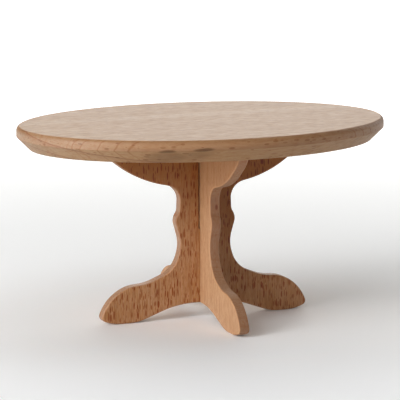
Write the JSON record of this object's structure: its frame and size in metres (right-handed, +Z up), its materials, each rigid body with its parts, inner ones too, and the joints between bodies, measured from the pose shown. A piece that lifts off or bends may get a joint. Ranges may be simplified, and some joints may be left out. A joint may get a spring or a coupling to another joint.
{
  "type": "miniature dining table",
  "caption": "Doll-size oval dining table in solid beech: a chamfered top on a pedestal of crossed, profiled leg boards with curved feet.",
  "frame": {"origin": "middle of the table on the floor", "axes": "+X along the oval top's long axis, +Y along its short axis, +Z up"},
  "size_m": [0.17, 0.121, 0.0896],
  "materials": {
    "top": "sanded, open-pored beech with a thin matt finish",
    "long_board": "sanded beech, upright grain with short dark ray flecks",
    "cross_board": "sanded beech, fine straight upright grain",
    "dowel": "plain turned beech"
  },
  "bodies": {
    "root": {"tabletop": "top", "long_leg_board": "long_board", "cross_leg_board": "cross_board", "dowel_left": "dowel", "dowel_right": "dowel", "dowel_front": "dowel", "dowel_back": "dowel"}
  },
  "joints": []
}
